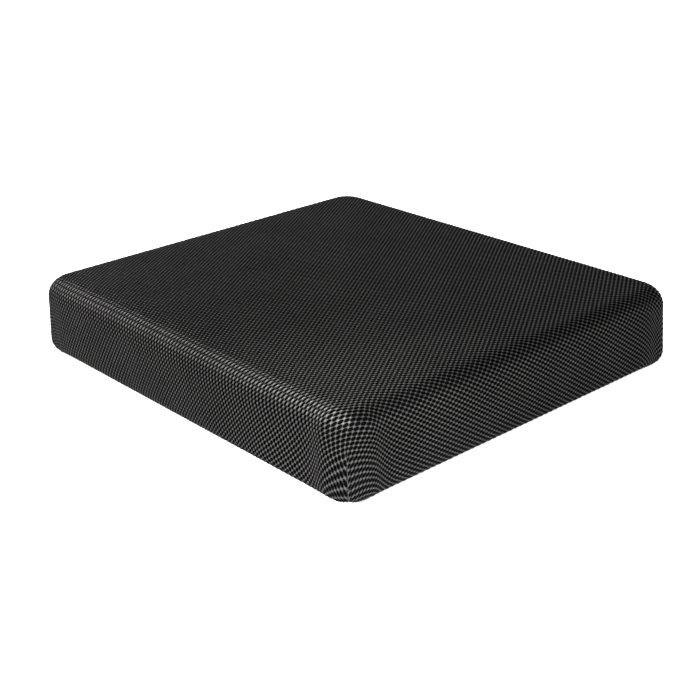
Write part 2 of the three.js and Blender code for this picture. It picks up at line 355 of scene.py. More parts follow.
class Recipe:
    """A Geometry Nodes tree with named inputs. grow() runs it and gives a plain mesh object."""

    def __init__(self, name, inputs):
        self.tree = bpy.data.node_groups.new(name, "GeometryNodeTree")
        self.graph = Graph(self.tree)
        interface = self.tree.interface
        interface.new_socket("Geometry", in_out="OUTPUT", socket_type="NodeSocketGeometry")
        for label, kind in inputs.items():
            interface.new_socket(label, in_out="INPUT", socket_type=SOCKETS[kind])
        self.entry = self.tree.nodes.new("NodeGroupInput")

    def input(self, label):
        return Value(self.graph, self.entry.outputs[label])

    def object(self, label):
        inputs = {"Object": self.input(label)}
        return self.graph.node("GeometryNodeObjectInfo", inputs, output="Geometry")

    def attribute(self, name, kind):
        inputs = {"Name": name}
        return self.graph.node("GeometryNodeInputNamedAttribute", inputs, data_type=kind)

    def store(self, geometry, name, value, kind, domain):
        inputs = {"Geometry": geometry, "Name": name, "Value": value}
        node = "GeometryNodeStoreNamedAttribute"
        return self.graph.node(node, inputs, data_type=kind, domain=domain)

    def drop(self, geometry, selection, domain):
        inputs = {"Geometry": geometry, "Selection": selection}
        return self.graph.node("GeometryNodeDeleteGeometry", inputs, domain=domain)

    def realized(self, points, unit, weld=True, **inputs):
        """The unit on each point, as plain geometry with its touching ends joined."""
        inputs = {"Points": points, "Instance": unit, **inputs}
        made = self.graph.node("GeometryNodeInstanceOnPoints", inputs)
        made = self.graph.node("GeometryNodeRealizeInstances", {"Geometry": made})
        if weld:
            inputs = {"Geometry": made, "Distance": WELD}
            made = self.graph.node("GeometryNodeMergeByDistance", inputs)
        return made

    def give(self, geometry):
        """Ends the tree with smooth faces in the material of the Finish input."""
        made = self.graph.node("GeometryNodeSetShadeSmooth", {"Geometry": geometry})
        inputs = {"Geometry": made, "Material": self.input("Finish")}
        made = self.graph.node("GeometryNodeSetMaterial", inputs)
        out = self.tree.nodes.new("NodeGroupOutput")
        self.tree.links.new(made.socket, out.inputs["Geometry"])

    def grow(self, name, values):
        holder = bpy.data.objects.new(name + ".holder", bpy.data.meshes.new(name + ".holder"))
        bpy.context.scene.collection.objects.link(holder)
        modifier = holder.modifiers.new("grow", "NODES")
        modifier.node_group = self.tree
        for item in self.tree.interface.items_tree:
            if item.in_out == "INPUT" and item.name in values:
                modifier[item.identifier] = values[item.name]
        evaluated = holder.evaluated_get(bpy.context.evaluated_depsgraph_get())
        mesh = bpy.data.meshes.new_from_object(evaluated)
        mesh.name = name
        bpy.data.objects.remove(holder)
        return place(name, mesh)


HELPERS = []


def place(name, mesh):
    piece = bpy.data.objects.new(name, mesh)
    bpy.context.scene.collection.objects.link(piece)
    return piece


def helper(name, mesh):
    """An object that a tree reads and that is removed before the end."""
    piece = place("helper_" + name, mesh)
    HELPERS.append(piece)
    return piece


def mesh_from(name, points, quads):
    mesh = bpy.data.meshes.new(name)
    mesh.from_pydata([tuple(p) for p in points], [], [tuple(int(i) for i in q) for q in quads])
    mesh.update()
    return mesh


# ---- The cover's surface ----


def profile():
    """Rows from the flat of the seat face down to the underside: inset, height, cloth length."""
    rows = []
    for step in range(TOP_STEPS + 1):
        angle = math.pi / 2 * step / TOP_STEPS
        rows.append((TOP_RADIUS * (1 - math.sin(angle)), HEIGHT - TOP_RADIUS * (1 - math.cos(angle))))
    edge = SLOT_HALF + SLOT_LIP
    for z in (
        HEIGHT - TOP_RADIUS - 5 * MM,
        ZIP_Z + edge + 2.5 * MM,
        ZIP_Z + edge,
        ZIP_Z + SLOT_HALF,
        ZIP_Z,
        ZIP_Z - SLOT_HALF,
        ZIP_Z - edge,
        ZIP_Z - edge - 5 * MM,
        ZIP_Z - edge - 11 * MM,
    ):
        rows.append((0.0, z))
    for step in range(BASE_STEPS + 1):
        angle = math.pi / 2 * step / BASE_STEPS
        rows.append((BASE_RADIUS * (1 - math.cos(angle)), BASE_RADIUS * (1 - math.sin(angle))))
    rows.append((BASE_RADIUS + UNDER_STRIP, UNDER_RISE))
    rows = np.array(rows)
    steps = np.hypot(*np.diff(rows, axis=0).T)
    return rows[:, 0], rows[:, 1], np.concatenate([[0.0], np.cumsum(steps)])


def columns(half):
    """Columns along one side: the straight part's place and the angle round its end corners."""
    turn = math.pi / 4 * (1 - TURN_SHARES)
    straight = half - CORNER_RADIUS
    if half == HALF[0]:
        near = [straight, SLOT_REACH + SLOT_LIP, SLOT_REACH]
    else:
        near = [straight, straight - 4 * MM]
    near = np.array(near + [near[-1] - COLUMN_GAP])
    count = 2 * round(near[-1] / COLUMN_PITCH)
    middle = np.linspace(-near[-1], near[-1], count + 1)
    middle = np.concatenate([-near[:-1], middle, near[:-1][::-1]])
    places = np.concatenate([np.full(len(turn), -straight), middle, np.full(len(turn), straight)])
    angles = np.concatenate([-turn, np.zeros(len(middle)), turn[::-1]])
    return places, angles


def capped(values, limit, softness):
    """values while they are below limit, then limit, with a rounded bend between."""
    return -softness * np.logaddexp(-values / softness, -limit / softness)


class Cover:
    """The cover's outer face as a closed grid of points, with the knit's own flat coordinates."""

    def __init__(self):
        self.inset, self.z, self.length = profile()
        self.sides = {}
        start = 0
        for name, (along, out) in FACES.items():
            half = HALF[0] if along[0] else HALF[1]
            other = HALF[1] if along[0] else HALF[0]
            places, angles = columns(half)
            self.sides[name] = (start, places, angles, along, out, other)
            start += len(places) - 1
        self.around = start
        self.build_points()
        self.build_quads()

    def build_points(self):
        rows = []
        for inset, z in zip(self.inset, self.z):
            ring = []
            for _, places, angles, along, out, other in self.sides.values():
                reach = CORNER_RADIUS - inset
                a = places + reach * np.sin(angles)
                b = other - CORNER_RADIUS + reach * np.cos(angles)
                plan = np.outer(a, along) + np.outer(b, out)
                ring.append(np.column_stack([plan, np.full(len(plan), z)])[:-1])
            rows.append(np.concatenate(ring))
        self.ring_count = len(rows)
        self.points = np.concatenate(rows)
        self.seat, seat_points = self.cap(0)
        self.points = np.concatenate([self.points, seat_points])
        self.under, under_points = self.cap(self.ring_count - 1)
        self.points = np.concatenate([self.points, under_points])

    def ring_index(self, row, column):
        return row * self.around + column % self.around

    def cap(self, row):
        """Index grid and inner points of a face whose border is one ring."""
        nx = len(self.sides["front"][1]) - 1
        ny = len(self.sides["right"][1]) - 1
        grid = np.zeros((nx + 1, ny + 1), int)
        starts = {name: side[0] for name, side in self.sides.items()}
        for j in range(nx + 1):
            grid[j, 0] = self.ring_index(row, starts["front"] + j)
            grid[j, ny] = self.ring_index(row, starts["rear"] + nx - j)
        for k in range(ny + 1):
            grid[nx, k] = self.ring_index(row, starts["right"] + k)
            grid[0, k] = self.ring_index(row, starts["left"] + ny - k)
        border = self.points
        u = (border[grid[:, 0], 0] - border[grid[0, 0], 0]) / np.ptp(border[grid[:, 0], 0])
        v = (border[grid[0, :], 1] - border[grid[0, 0], 1]) / np.ptp(border[grid[0, :], 1])
        inner = []
        base = len(self.points)
        for j in range(1, nx):
            for k in range(1, ny):
                p = (1 - v[k]) * border[grid[j, 0]] + v[k] * border[grid[j, ny]]
                p = p + (1 - u[j]) * border[grid[0, k]] + u[j] * border[grid[nx, k]]
                corners = (1 - u[j]) * (1 - v[k]) * border[grid[0, 0]]
                corners = corners + u[j] * (1 - v[k]) * border[grid[nx, 0]]
                corners = corners + (1 - u[j]) * v[k] * border[grid[0, ny]]
                corners = corners + u[j] * v[k] * border[grid[nx, ny]]
                grid[j, k] = base + len(inner)
                inner.append(p - corners)
        return grid, np.array(inner)

    def build_quads(self):
        quads = []
        for row in range(self.ring_count - 1):
            for column in range(self.around):
                quads.append(
                    (
                        self.ring_index(row, column),
                        self.ring_index(row + 1, column),
                        self.ring_index(row + 1, column + 1),
                        self.ring_index(row, column + 1),
                    )
                )
        for grid, upward in ((self.seat, True), (self.under, False)):
            for j in range(grid.shape[0] - 1):
                for k in range(grid.shape[1] - 1):
                    quad = (grid[j, k], grid[j + 1, k], grid[j + 1, k + 1], grid[j, k + 1])
                    quads.append(quad if upward else quad[::-1])
        self.quads = quads

    def cloth_places(self, name):
        """The flat knit coordinates of one side flap, as rows by columns by 2."""
        _, places, angles, along, out, other = self.sides[name]
        on_front_or_rear = 1.0 if along[0] else 0.0
        on_front = 1.0 if out[1] < 0 else 0.0
        border = CORNER_RADIUS - TOP_RADIUS
        a = places + border * np.sin(angles)
        b = other - CORNER_RADIUS + border * np.cos(angles)
        from_corner = places.max() - np.abs(places) + CORNER_RADIUS * (math.pi / 4 - np.abs(angles))
        share = np.clip(1 - from_corner / TURN_REACH, 0, 1)
        turn = math.pi / 4 * share * np.sign(places)
        fine = np.linspace(0, self.length[-1], 400)
        pull = EDGE_PULL * np.exp(-(((fine - EDGE_PULL_PLACE) / EDGE_PULL_WIDTH) ** 2))
        lost = np.interp(self.length, fine, np.cumsum(pull) * (fine[1] - fine[0]))
        pulled = np.clip(from_corner / EDGE_PULL_TAPER, 0, 1) * on_front_or_rear
        length = self.length[:, None] - np.outer(lost, pulled)
        gathered = capped(length, GATHER_LENGTH, LENGTH_SOFTNESS)
        dropped = capped(length, DROP_LENGTH, LENGTH_SOFTNESS)
        lean = FRONT_SKEW + FRONT_SKEW_GROWTH * np.clip(a - FRONT_SKEW_START, 0, FRONT_SKEW_SPAN)
        skew = lean * np.clip(from_corner / FRONT_SKEW_TAPER, 0, 1) * on_front
        a = a[None, :] + gathered * np.sin(turn) + np.outer(self.length, skew)
        b = b[None, :] + dropped * np.cos(turn) + length - dropped
        return a[..., None] * along + b[..., None] * out


def cover_mesh(cover, name="cover"):
    return mesh_from(name, cover.points, cover.quads)


def shape_by_hand(cover):
    """Crown, the dip along each corner seam and the spread of the cloth at the foot of each corner."""
    points = cover.points
    share = np.clip(1 - np.abs(points[:, :2] / HALF) ** CROWN_POWER, 0, None)
    points[:, 2] += CROWN * share[:, 0] * share[:, 1] * (points[:, 2] / HEIGHT) ** 3
    for _, places, _, along, out, other in cover.sides.values():
        centre = places.max() * along + (other - CORNER_RADIUS) * out
        diagonal = (along + out) / math.sqrt(2)
        from_centre = points[:, :2] - centre
        sideways = from_centre @ np.array([-diagonal[1], diagonal[0]])
        outward = from_centre @ diagonal
        below = np.clip((SEAM_TOP - points[:, 2]) / SEAM_FADE, 0, 1)
        near = np.exp(-((sideways / SEAM_HALF_WIDTH) ** 2)) * (outward > 0)
        dip = SEAM_DIP * near * below * below * (3 - 2 * below)
        low = np.clip((SPREAD_TOP - points[:, 2]) / SPREAD_TOP, 0, 1)
        spread = CORNER_SPREAD * low * np.exp(-((sideways / SPREAD_HALF_WIDTH) ** 2)) * (outward > 0)
        points[:, :2] += (spread - dip)[:, None] * diagonal


def normals_of(cover):
    mesh = cover_mesh(cover)
    found = np.zeros(len(mesh.vertices) * 3, np.float32)
    mesh.vertex_normals.foreach_get("vector", found)
    bpy.data.meshes.remove(mesh)
    return found.reshape(-1, 3).astype(float)


def inflate(cover):
    """Swells the cover by a cloth simulation. Each point travels outwards, by less than SWELL."""
    piece = place("cloth", cover_mesh(cover, "cloth"))
    held = piece.vertex_groups.new(name="held")
    low = cover.points[:, 2] < 5 * MM
    by_zip = (cover.points[:, 1] > HALF[1] - 1 * MM) & (np.abs(cover.points[:, 2] - ZIP_Z) < 8 * MM)
    held.add([int(i) for i in np.nonzero(low | by_zip)[0]], 1.0, "REPLACE")
    modifier = piece.modifiers.new("cloth", "CLOTH")
    for setting, value in CLOTH_SETTINGS.items():
        setattr(modifier.settings, setting, value)
    modifier.settings.effector_weights.gravity = 0
    modifier.point_cache.frame_start = 1
    modifier.point_cache.frame_end = CLOTH_FRAMES
    scene = bpy.context.scene
    for number in range(1, CLOTH_FRAMES + 1):
        scene.frame_set(number)
    evaluated = piece.evaluated_get(bpy.context.evaluated_depsgraph_get())
    moved = np.zeros(len(cover.points) * 3, np.float32)
    evaluated.data.vertices.foreach_get("co", moved)
    scene.frame_set(1)
    bpy.data.objects.remove(piece)
    travel = moved.reshape(-1, 3) - cover.points
    outward = normals_of(cover)
    sunk = np.clip(np.sum(travel * outward, axis=1, keepdims=True), None, 0)
    travel -= sunk * outward
    distance = np.linalg.norm(travel, axis=1, keepdims=True)
    cover.points = cover.points + travel * SWELL / (SWELL + distance)


def draw_in_at_zip(cover):
    """The sewing pulls the cloth in along the zip, so that the pull tab lies clear of it."""
    points = cover.points
    rear = points[:, 1] > HALF[1] - 5 * MM
    beside = np.clip((ZIP_PULL_REACH[0] - np.abs(points[:, 0])) / ZIP_PULL_FADE[0], 0, 1)
    above = np.clip((ZIP_PULL_REACH[1] - np.abs(points[:, 2] - ZIP_Z)) / ZIP_PULL_FADE[1], 0, 1)
    points[:, 1] -= ZIP_PULL_IN * beside * above * rear


# ---- Materials ----


def edge_shares(graph):
    """How far a point lies on the bend over the left and right edges, and over the front and rear, for
    the painted light on the knit's edges.
    """
    x = graph.node("ShaderNodeSeparateXYZ", {0: graph.on_object()}, output="X")
    high = graph.rise(x.other("Z"), HEIGHT - 11 * MM, HEIGHT - 6 * MM)
    return [
        graph.rise(value.math("ABSOLUTE"), half - 19 * MM, half - 12 * MM) * high
        for value, half in ((x, HALF[0]), (x.other("Y"), HALF[1]))
    ]


def knit_yarn():
    """Black polyester yarn with fine filaments and shiny knots. Painted shade darkens the hole walls,
    a painted highlight lightens the knots, and painted light lightens the front and rear edges and the
    corners and darkens the left and right edges.
    """
    material, graph, shader = finish(
        "knit_yarn",
        grey(0.01),
        Specular_IOR_Level=0.0,
        Coat_Roughness=0.3,
        Coat_IOR=1.4,
    )
    cloth = graph.on_cloth()
    crest = graph.node("ShaderNodeAttribute", output="Fac", attribute_name="crest")
    stretched = graph.node("ShaderNodeMapping", {"Vector": cloth, "Scale": (5200, 1500, 1)})
    filament = graph.noise(stretched, 1.0, 2.0)
    broad = graph.noise(cloth, 16.0, 3.0)
    uneven = graph.noise(cloth, 230.0, 1.0)
    # The hole walls, where leg is 0, get a near-black colour: painted shade in the holes.
    leg = graph.rise(crest, -0.25, 0.05)
    knot = graph.rise(crest, 0.0, 0.3)
    tone = 0.6 * filament + 0.5 * broad
    strand = graph.mix(tone, grey(0.007), (0.028, 0.0275, 0.027, 1))
    # The knots are coloured lighter than the legs: a painted highlight on each knot.
    painted_knot_highlight = graph.mix(tone * uneven * 2, grey(0.011), (0.04, 0.0394, 0.0387, 1))
    colour = graph.mix(knot, graph.mix(leg, grey(0.0004), strand), painted_knot_highlight)
    # Painted light on the bends: the front and rear edges lighter as a painted highlight, the left and
    # right edges darker as painted shade, and the corners lightest as a painted highlight.
    side_edge, front_edge = edge_shares(graph)
    painted_edge_light = 1 + 1.1 * front_edge * (1 - side_edge) - 0.4 * side_edge * (1 - front_edge)
    painted_edge_light = painted_edge_light + 1.5 * side_edge * front_edge
    colour_with_painted_edge_light = graph.node("ShaderNodeVectorMath", {0: colour, "Scale": painted_edge_light}, operation="SCALE")
    vary(
        graph,
        shader,
        filament,
        0.5,
        0.12 * MM,
        Base_Color=colour_with_painted_edge_light,
        Roughness=0.9 - 0.35 * leg + 0.15 * filament,
        Coat_Weight=knot * (0.08 + 0.4 * uneven),
    )
    return material


def backing_knit():
    """The dense inner face of the spacer fabric, seen through the holes."""
    name = "backing_knit"
    material, graph, shader = finish(name, grey(0.001), Roughness=0.95, Specular_IOR_Level=0.0)
    weave = graph.cells(graph.on_object(), 1300.0)
    shade = graph.mix(weave, grey(0.0003), grey(0.0015))
    vary(graph, shader, weave, 0.6, 0.3 * MM, Base_Color=shade)
    return material


def woven(name, dark, light, scale, roughness, **sockets):
    """Cloth of crossing threads."""
    material, graph, shader = finish(name, dark, **sockets)
    flat = graph.on_cloth()
    warp, weft = (
        graph.node("ShaderNodeTexWave", {"Vector": flat, "Scale": fine}, "Fac", bands_direction=axis)
        for fine, axis in ((scale, "X"), (scale * 0.8, "Y"))
    )
    soil = graph.noise(flat, 60.0, 4.0)
    height = graph.math("MAXIMUM", {0: warp * 0.9, 1: weft}) * (0.8 + 0.4 * soil)
    colour = graph.mix(height, dark, light)
    rough = roughness + 0.2 * soil - 0.1 * height
    vary(graph, shader, height, 0.6, 0.2 * MM, Base_Color=colour, Roughness=rough)
    return material


def moulded(name, dark, light, roughness, grain, **sockets):
    """Plastic or rubber with a fine moulded grain."""
    material, graph, shader = finish(name, dark, **sockets)
    where = graph.on_object()
    specks = graph.noise(where, grain, 3.0)
    colour = graph.mix(graph.noise(where, grain / 20, 2.0), dark, light)
    rough = roughness + 0.25 * specks
    vary(graph, shader, specks, 0.4, 0.05 * MM, Base_Color=colour, Roughness=rough)
    return material


def twisted_thread():
    """Black sewing thread with its twist as slanting lines."""
    material, graph, shader = finish("twisted_thread", grey(0.02), Specular_IOR_Level=0.3)
    twist = graph.node(
        "ShaderNodeTexWave",
        {"Vector": graph.on_object(), "Scale": 900.0, "Distortion": 1.5},
        output="Fac",
        bands_direction="DIAGONAL",
    )
    colour = graph.mix(twist, grey(0.006), grey(0.05))
    vary(graph, shader, twist, 0.7, 0.1 * MM, Base_Color=colour, Roughness=0.45 + 0.3 * twist)
    return material


def painted_metal():
    """Black painted zinc, worn to bare metal in places."""
    material, graph, shader = finish("painted_metal", grey(0.02))
    wear = graph.noise(graph.on_object(), 1500.0, 5.0)
    bare = graph.rise(wear, 0.64, 0.76)
    vary(
        graph,
        shader,
        wear,
        0.3,
        0.05 * MM,
        Base_Color=graph.mix(bare, grey(0.02), grey(0.17)),
        Metallic=0.2 + 0.8 * bare,
        Roughness=0.28 + 0.25 * wear,
    )
    return material


def foam(name, dark, light, cell_scale):
    """Cut foam: open cells of two sizes."""
    material, graph, shader = finish(name, dark, Specular_IOR_Level=0.2)
    where = graph.on_object()
    depth = graph.cells(where, cell_scale) * (0.6 + 0.6 * graph.cells(where, cell_scale / 4))
    colour = graph.mix(depth, dark, light)
    vary(graph, shader, depth, 0.8, 0.6 * MM, Base_Color=colour, Roughness=0.75 + 0.2 * depth)
    return material


# ---- Knit face ----


def hole_outline():
    """The crest line round one hole: knots left and right, sloping legs between."""
    tip_y = KNIT_ALONG / 2 - KNOT_HALF_LENGTH
    quarter = [
        (KNIT_ACROSS / 2, 0.0, KNOT_RISE),
        (KNIT_ACROSS / 2, KNOT_HALF_LENGTH, KNOT_RISE / 3),
        (KNIT_ACROSS / 4, (KNOT_HALF_LENGTH + tip_y) / 2, LEG_RISE),
        (0.0, tip_y, KNOT_RISE / 3),
    ]
    half = quarter + [(-x, y, z) for x, y, z in quarter[2::-1]]
    return half + [(-x, -y, z) for x, y, z in half[1:-1]]


def knit_cell():
    """The yarn round two staggered knots, cut across its legs, where neighbours join."""
    outline = hole_outline()
    rings = [(1.0, -0.28 * MM, 0.16 * MM), (0.74, -KNIT_DEPTH, 0.0)]
    steps = range(-1, 3)
    holes = [(i * KNIT_ACROSS, j * KNIT_ALONG) for i in steps for j in steps]
    holes += [(x + KNIT_ACROSS / 2, y + KNIT_ALONG / 2) for x, y in holes]
    knots = [(x + KNIT_ACROSS / 2, y) for x, y in holes]
    own = [(KNIT_ACROSS / 2, 0.0), (0.0, KNIT_ALONG / 2)]
    points, quads = [], []

    def column(centre, corner):
        x, y, z = corner
        angle = math.atan2(y / HOLE[1], x / HOLE[0])
        across, along = math.cos(angle), math.sin(angle)
        found = [(centre[0] + x, centre[1] + y, z)]
        for scale, depth, swell in rings:
            height = depth + swell * across**6
            found.append(
                (centre[0] + scale * HOLE[0] * across, centre[1] + scale * HOLE[1] * along, height)
            )
        return found

    for centre in holes:
        for first, second in zip(outline, outline[1:] + outline[:1]):
            middle = [centre[axis] + (first[axis] + second[axis]) / 2 for axis in (0, 1)]
            nearest = min(knots, key=lambda knot: math.dist(knot, middle))
            if min(math.dist(nearest, knot) for knot in own) > 0.1 * MM:
                continue
            base = len(points)
            points += column(centre, first) + column(centre, second)
            for ring in range(len(rings)):
                a, b = base + ring, base + ring + len(rings) + 1
                quads.append((a, b, b + 1, a + 1))
    return mesh_from("knit_cell", points, quads)


def knit_guide(cover, normals):
    """The cover's outer face with the knit's flat coordinates as its UV map."""
    points, lifts, quads, places, panel = [], [], [], [], []

    def add_patch(p, n, uv, number):
        base = len(points)
        rows, cols = p.shape[:2]
        points.extend(p.reshape(-1, 3))
        lifts.extend(n.reshape(-1, 3))
        flat = uv.reshape(-1, 2)
        for row in range(rows - 1):
            for col in range(cols - 1):
                corners = [row * cols + col, (row + 1) * cols + col]
                corners += [(row + 1) * cols + col + 1, row * cols + col + 1]
                quads.append([base + c for c in corners])
                places.extend(flat[c] for c in corners)
                middle = np.mean([points[base + c] for c in corners], axis=0)
                shut = middle[1] > 0 and abs(middle[2] - ZIP_Z) < SLOT_HALF + SLOT_LIP
                shut = shut and abs(middle[0]) < SLOT_REACH + SLOT_LIP
                panel.append(-1 if shut and PANELS[number] == "rear" else number)

    seat = cover.seat.T[::-1]
    add_patch(cover.points[seat], normals[seat], cover.flat[seat], 0)
    for number, name in enumerate(PANELS[1:], 1):
        start, side_places, _, along, out, other = cover.sides[name]
        index = np.array(
            [
                [cover.ring_index(row, start + c) for c in range(len(side_places))]
                for row in range(cover.ring_count)
            ]
        )
        uv = cover.cloth_places(name)
        p, n = cover.points[index], normals[index]
        add_patch(p, n, uv, number)
        for end, sign in ((0, -1), (-1, 1)):
            corner = sign * side_places.max() * along + (other - CORNER_RADIUS) * out
            local = uv[:, end] - corner
            spare = np.abs(local @ out - sign * (local @ along))
            rows = np.arange(np.argmax(spare > SEAM_START) - 1, cover.ring_count)
            width = np.clip(spare, SEAM_LEAST, SEAM_ALLOWANCE)[rows, None]
            inward = np.append(-(sign * along + out) / math.sqrt(2), 0.0)
            tucked = p[rows, end] + inward * width
            strip_uv = uv[rows, end] + sign * along * width
            pair = (np.stack([p[rows, end], tucked], 1), np.stack([n[rows, end]] * 2, 1))
            uv_pair = np.stack([uv[rows, end], strip_uv], 1)
            if sign < 0:
                pair = tuple(x[:, ::-1] for x in pair)
                uv_pair = uv_pair[:, ::-1]
            add_patch(*pair, uv_pair, number)
    mesh = mesh_from("guide", points, quads)
    layer = mesh.uv_layers.new(name="cloth")
    layer.data.foreach_set("uv", np.array(places, np.float32).ravel())
    lift = mesh.attributes.new("lift", "FLOAT_VECTOR", "POINT")
    lift.data.foreach_set("vector", np.array(lifts, np.float32).ravel())
    number = mesh.attributes.new("panel", "INT", "FACE")
    number.data.foreach_set("value", np.array(panel, np.int32))
    return mesh


def knit_recipe():
    """Lays the knit cell on a staggered grid and moves every point onto the guide by its UV place."""
    recipe = Recipe(
        "knit face",
        {
            "Guide": bpy.types.Object,
            "Cell": bpy.types.Object,
            "Panel": int,
            "Across": float,
            "Along": float,
            "Columns": int,
            "Rows": int,
            "Middle": Vector,
            "Sheet Low": Vector,
            "Sheet Size": float,
            "Finish": bpy.types.Material,
        },
    )
    g = recipe.graph
    guide = recipe.object("Guide")
    uv = recipe.attribute("cloth", "FLOAT_VECTOR")
    lift = recipe.attribute("lift", "FLOAT_VECTOR")
    panel = recipe.attribute("panel", "INT")
    position = g.node("GeometryNodeInputPosition")

    def sampled(value, kind):
        """A value of the guide at the flat place of each point."""
        inputs = {"Mesh": guide, "Value": value, "UV Map": uv, "Sample UV": position}
        return g.node("GeometryNodeSampleUVSurface", inputs, output="Value", data_type=kind)

    lattice = g.node(
        "GeometryNodeMeshGrid",
        {
            "Size X": recipe.input("Across") * (recipe.input("Columns") - 1),
            "Size Y": recipe.input("Along") * (recipe.input("Rows") - 1),
            "Vertices X": recipe.input("Columns"),
            "Vertices Y": recipe.input("Rows"),
        },
    )
    shift = {"Geometry": lattice, "Translation": recipe.input("Middle")}
    lattice = g.node("GeometryNodeTransform", shift)
    own = sampled(panel, "INT")
    pair = {2: own, 3: recipe.input("Panel")}
    wrong = g.node("FunctionNodeCompare", pair, data_type="INT", operation="NOT_EQUAL")
    outside = g.node("FunctionNodeBooleanMath", {0: own.other("Is Valid")}, operation="NOT")
    unwanted = g.node("FunctionNodeBooleanMath", {0: wrong, 1: outside}, operation="OR")
    lattice = recipe.drop(lattice, unwanted, "POINT")
    cells = recipe.realized(lattice, recipe.object("Cell"))
    flat = recipe.store(cells, "cloth", position, "FLOAT2", "CORNER")
    away = {0: position, 1: recipe.input("Sheet Low")}
    away = g.node("ShaderNodeVectorMath", away, operation="SUBTRACT")
    sheet = {0: away, "Scale": 1 / recipe.input("Sheet Size")}
    sheet = g.node("ShaderNodeVectorMath", sheet, operation="SCALE")
    flat = recipe.store(flat, "OFBake", sheet, "FLOAT2", "CORNER")
    under = {2: sampled(panel, "INT"), 3: 0}
    shut = g.node("FunctionNodeCompare", under, data_type="INT", operation="LESS_THAN")
    flat = recipe.drop(flat, shut, "FACE")
    spot = sampled(position, "FLOAT_VECTOR")
    upward = sampled(lift, "FLOAT_VECTOR")
    height = g.node("ShaderNodeSeparateXYZ", {0: position}, output="Z")
    flat = recipe.store(flat, "crest", height / MM, "FLOAT", "POINT")
    offset = g.node("ShaderNodeVectorMath", {0: upward, "Scale": height}, operation="SCALE")
    target = g.node("ShaderNodeVectorMath", {0: spot, 1: offset}, operation="ADD")
    marked = recipe.store(flat, "found", spot.other("Is Valid"), "BOOLEAN", "POINT")
    moved = g.node("GeometryNodeSetPosition", {"Geometry": marked, "Position": target})
    found = recipe.attribute("found", "BOOLEAN")
    lost = g.node("FunctionNodeBooleanMath", {0: found}, operation="NOT")
    recipe.give(recipe.drop(moved, lost, "POINT"))
    return recipe


# ---- Threads, teeth and dots ----


def tube(name, path, radii, sides, closed_ends=True):
    """A round tube along a path of points, with a pole on each end."""
    path = np.array(path, float)
    ahead = np.gradient(path, axis=0)
    ahead /= np.linalg.norm(ahead, axis=1, keepdims=True)
    points, quads = [], []
    for spot, forward, radius in zip(path, ahead, radii):
        first = np.cross(forward, (0.0, 0.0, 1.0) if abs(forward[2]) < 0.9 else (0.0, 1.0, 0.0))
        first /= np.linalg.norm(first)
        second = np.cross(forward, first)
        for side in range(sides):
            angle = math.tau * side / sides
            points.append(spot + radius * (first * math.cos(angle) + second * math.sin(angle)))
    for ring in range(len(path) - 1):
        for side in range(sides):
            a, b = ring * sides + side, ring * sides + (side + 1) % sides
            quads.append((a, b, b + sides, a + sides))
    if closed_ends:
        last = (len(path) - 1) * sides
        for base, pole, turned in ((0, path[0], True), (last, path[-1], False)):
            points.append(pole)
            for side in range(sides):
                a, b = base + side, base + (side + 1) % sides
                quads.append((b, a, len(points) - 1) if turned else (a, b, len(points) - 1))
    return mesh_from(name, points, quads)


def thread_stitch(length, radius):
    """One stitch: a short arched length of thread that dives in at both ends."""
    shares = (-0.5, -0.42, -0.2, 0.2, 0.42, 0.5)
    heights = (-1.4, -0.1, 0.35, 0.35, -0.1, -1.4)
    path = [(share * length, 0.0, height * radius) for share, height in zip(shares, heights)]
    return tube("stitch", path, [radius * 0.8, radius, radius, radius, radius, radius * 0.8], 6)


def coil_turn(pitch, radius, half_width, half_height):
    """One turn of a zip's monofilament coil."""
    steps = 12
    path = []
    for step in range(steps + 1):
        angle = math.tau * step / steps
        path.append(
            (pitch * (step / steps - 0.5), half_width * math.sin(angle), half_height * math.cos(angle))
        )
    return tube("coil_turn", path, [radius] * (steps + 1), 5, closed_ends=False)


def grip_dots(radius, height, pitch):
    """Two staggered rubber dots, domed downwards, standing on z = 0."""
    points, quads = [], []
    sides = 10
    rings = [(1.0, 0.3), (1.0, -0.4), (0.72, -0.85)]
    for cx, cy in ((0.0, 0.0), (pitch / 2, pitch / 2)):
        base = len(points)
        for scale, drop in rings:
            for side in range(sides):
                angle = -math.tau * side / sides
                x, y = radius * scale * math.cos(angle), radius * scale * math.sin(angle)
                points.append((cx + x, cy + y, drop * height))
        points.append((cx, cy, -height))
        for ring in range(len(rings) - 1):
            for side in range(sides):
                a, b = base + ring * sides + side, base + ring * sides + (side + 1) % sides
                quads.append((a, b, b + sides, a + sides))
        last = base + (len(rings) - 1) * sides
        for side in range(sides):
            quads.append((last + side, last + (side + 1) % sides, len(points) - 1))
    return mesh_from("grip_dots", points, quads)


def run_recipe():
    """Repeats a unit along a path: its X follows the path and its Z the path's own lift."""
    recipe = Recipe(
        "run",
        {
            "Path": bpy.types.Object,
            "Unit": bpy.types.Object,
            "Count": int,
            "Turn": float,
            "Finish": bpy.types.Material,
        },
    )
    g = recipe.graph
    curve = g.node("GeometryNodeMeshToCurve", {"Mesh": recipe.object("Path")})
    count = {"Curve": curve, "Count": recipe.input("Count")}
    curve = g.node("GeometryNodeResampleCurve", count)
    axes = {0: recipe.attribute("lift", "FLOAT_VECTOR"), 1: g.node("GeometryNodeInputTangent")}
    facing = g.node("FunctionNodeAxesToRotation", axes, primary_axis="Z", secondary_axis="X")
    spin = {"Axis": (0.0, 0.0, 1.0), "Angle": recipe.input("Turn")}
    spin = g.node("FunctionNodeAxisAngleToRotation", spin)
    facing = g.node("FunctionNodeRotateRotation", {0: facing, 1: spin}, rotation_space="LOCAL")
    recipe.give(recipe.realized(curve, recipe.object("Unit"), Rotation=facing))
    return recipe


